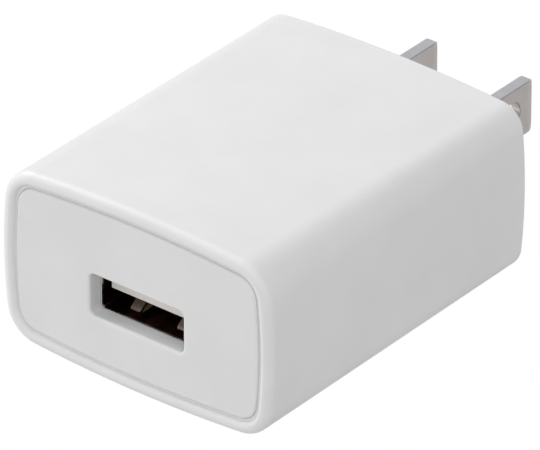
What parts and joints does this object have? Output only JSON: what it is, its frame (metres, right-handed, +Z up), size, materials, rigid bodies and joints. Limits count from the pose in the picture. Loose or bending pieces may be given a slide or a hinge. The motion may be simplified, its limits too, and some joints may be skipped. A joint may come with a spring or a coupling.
{
  "type": "usb wall charger",
  "caption": "Compact USB wall charger: drafted white plastic body with bowed sides, inset front cover with a USB-A port, and two fixed flat mains blades at the rear.",
  "frame": {"origin": "centre of the rear face that meets the wall, midway between the two blades", "axes": "+Y out of the rear face along the blades, -Y out of the USB port, +X to the right seen from the port side, +Z up"},
  "size_m": [0.0358, 0.0582, 0.0218],
  "materials": {
    "casing_plastic": "white moulded polycarbonate, fine satin texture",
    "cover_plastic": "white moulded polycarbonate, fine satin texture",
    "blade_plating": "nickel-plated brass, satin, brushed along the blade",
    "inner_plastic": "natural white flame-retardant plastic",
    "spring_bronze": "tin-flashed phosphor bronze",
    "port_steel": "nickel-plated folded steel",
    "port_plastic": "white moulded thermoplastic",
    "contact_gold": "thin gold plating",
    "ferrite": "sintered ferrite, dull dark grey",
    "bobbin_plastic": "black phenolic",
    "tinned_metal": "tinned",
    "enamelled_copper": "enamelled copper wire",
    "insulated_wire": "triple-insulated yellow wire",
    "yellow_tape": "polyester film tape",
    "can_aluminium": "drawn aluminium can",
    "sleeve_film": "black shrink sleeve",
    "seal_rubber": "black rubber bung",
    "board_laminate": "glass-fibre and paper laminate",
    "solder": "bright solder",
    "blue_coating": "blue epoxy coating",
    "resistor_coating": "green flameproof coating",
    "chip_epoxy": "black epoxy",
    "chip_ceramic": "black-glazed ceramic chip",
    "chip_ceramic_tan": "tan ceramic chip",
    "clear_film": "translucent polyester film"
  },
  "bodies": {
    "root": {"blade_holder": "inner_plastic", "blade_left": "blade_plating", "blade_right": "blade_plating", "bridge_rectifier": "chip_epoxy", "bulk_capacitor_1": "can_aluminium", "bulk_capacitor_2": "can_aluminium", "capacitor_seals": "seal_rubber", "capacitor_sleeves": "sleeve_film", "chip_capacitors": "chip_ceramic_tan", "chip_legs": "tinned_metal", "chip_resistors": "chip_ceramic", "choke_coil": "enamelled_copper", "choke_core": "ferrite", "circuit_board": "board_laminate", "component_leads": "tinned_metal", "contact_clip_left": "spring_bronze", "contact_clip_right": "spring_bronze", "controller_chip": "chip_epoxy", "core_tape": "yellow_tape", "disc_capacitor": "blue_coating", "front_cover": "cover_plastic", "fusible_resistor": "resistor_coating", "housing": "casing_plastic", "insulating_sheet": "clear_film", "output_capacitor_1": "can_aluminium", "output_capacitor_2": "can_aluminium", "output_diode": "chip_epoxy", "primary_winding": "enamelled_copper", "secondary_winding": "insulated_wire", "solder_joints": "solder", "transformer_bobbin": "bobbin_plastic", "transformer_core_front": "ferrite", "transformer_core_rear": "ferrite", "transformer_pins": "tinned_metal", "usb_contacts": "contact_gold", "usb_insulator": "port_plastic", "usb_shell": "port_steel", "winding_tape": "yellow_tape"}
  },
  "joints": []
}
